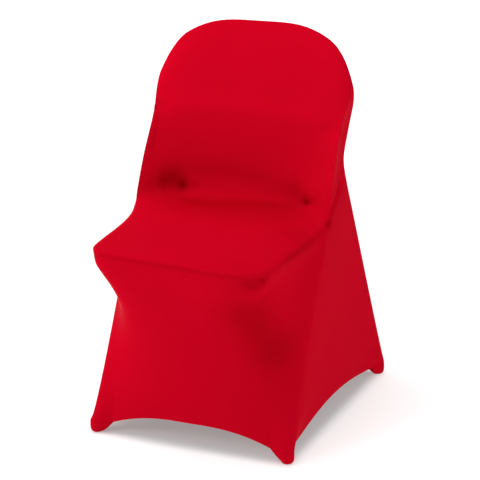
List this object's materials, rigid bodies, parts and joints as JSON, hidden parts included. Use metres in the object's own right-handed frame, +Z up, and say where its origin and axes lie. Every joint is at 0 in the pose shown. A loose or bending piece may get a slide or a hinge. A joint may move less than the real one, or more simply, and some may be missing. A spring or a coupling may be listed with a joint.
{
  "type": "folding chair cover",
  "caption": "Red stretch-knit cover for a folding chair: a hood over the backrest, a seat panel, arched hems and foot pockets.",
  "frame": {"origin": "on the floor, under the middle of the cover's bounding box", "axes": "+Z up, -Y towards the front of the seat, +X to the right as seen from the front"},
  "size_m": [0.4832, 0.6626, 0.8453],
  "materials": {
    "knit": "smooth satin stretch knit"
  },
  "bodies": {
    "root": {"hood_front": "knit", "seat": "knit", "skirt_front": "knit", "side_right": "knit", "side_left": "knit", "back": "knit", "pocket_front_right": "knit", "pocket_front_left": "knit", "pocket_rear_right": "knit", "pocket_rear_left": "knit"}
  },
  "joints": []
}
